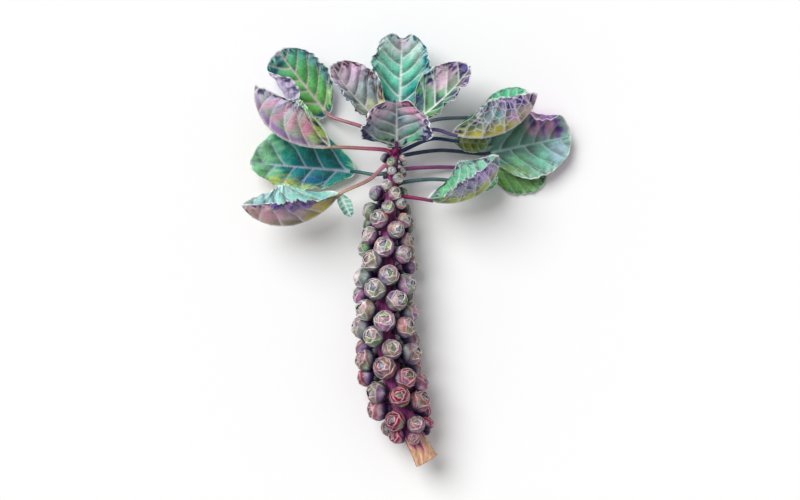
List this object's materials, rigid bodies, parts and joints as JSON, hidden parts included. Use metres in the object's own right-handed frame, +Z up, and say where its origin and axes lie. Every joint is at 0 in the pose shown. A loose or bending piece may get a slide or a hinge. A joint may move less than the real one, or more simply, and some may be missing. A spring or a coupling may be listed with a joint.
{
  "type": "brussels sprout stalk",
  "caption": "Purple sprout stalk cut at the foot and lying down: a bent woody stem set with round leafy heads in a spiral, with cupped, wavy leaves on long stalks at the crown.",
  "frame": {"origin": "the middle of the part's outline seen from above, on the surface that the stalk lies on", "axes": "+Y along the stem from the cut foot to the crown, +X across the spread of the leaves, +Z up from the surface"},
  "size_m": [0.4969, 0.6526, 0.1332],
  "materials": {
    "stem": "satin",
    "sprout": "satin",
    "leaf": "satin",
    "crown_leaf": "satin"
  },
  "bodies": {
    "root": {"leaf_crown_front": "crown_leaf", "leaf_crown_left": "crown_leaf", "leaf_crown_right": "crown_leaf", "leaf_crown_top": "crown_leaf", "leaf_left_bottom": "leaf", "leaf_left_lower": "leaf", "leaf_left_middle": "leaf", "leaf_left_upper": "leaf", "leaf_right_bottom": "leaf", "leaf_right_large": "leaf", "leaf_right_middle": "leaf", "leaf_right_rear": "leaf", "leaf_right_rear_lower": "leaf", "leaf_right_small": "leaf", "leaf_right_upper": "leaf", "sprouts_01": "sprout", "sprouts_02": "sprout", "sprouts_03": "sprout", "sprouts_04": "sprout", "sprouts_05": "sprout", "sprouts_06": "sprout", "sprouts_07": "sprout", "sprouts_08": "sprout", "sprouts_09": "sprout", "sprouts_10": "sprout", "sprouts_11": "sprout", "sprouts_12": "sprout", "sprouts_13": "sprout", "sprouts_14": "sprout", "sprouts_15": "sprout", "sprouts_16": "sprout", "sprouts_17": "sprout", "sprouts_18": "sprout", "sprouts_19": "sprout", "sprouts_20": "sprout", "sprouts_21": "sprout", "sprouts_22": "sprout", "sprouts_23": "sprout", "sprouts_24": "sprout", "sprouts_25": "sprout", "sprouts_26": "sprout", "sprouts_27": "sprout", "sprouts_28": "sprout", "sprouts_29": "sprout", "sprouts_30": "sprout", "sprouts_31": "sprout", "sprouts_32": "sprout", "sprouts_33": "sprout", "sprouts_34": "sprout", "sprouts_35": "sprout", "sprouts_36": "sprout", "sprouts_37": "sprout", "sprouts_38": "sprout", "sprouts_39": "sprout", "sprouts_40": "sprout", "sprouts_41": "sprout", "sprouts_42": "sprout", "sprouts_43": "sprout", "sprouts_44": "sprout", "stem": "stem"}
  },
  "joints": []
}
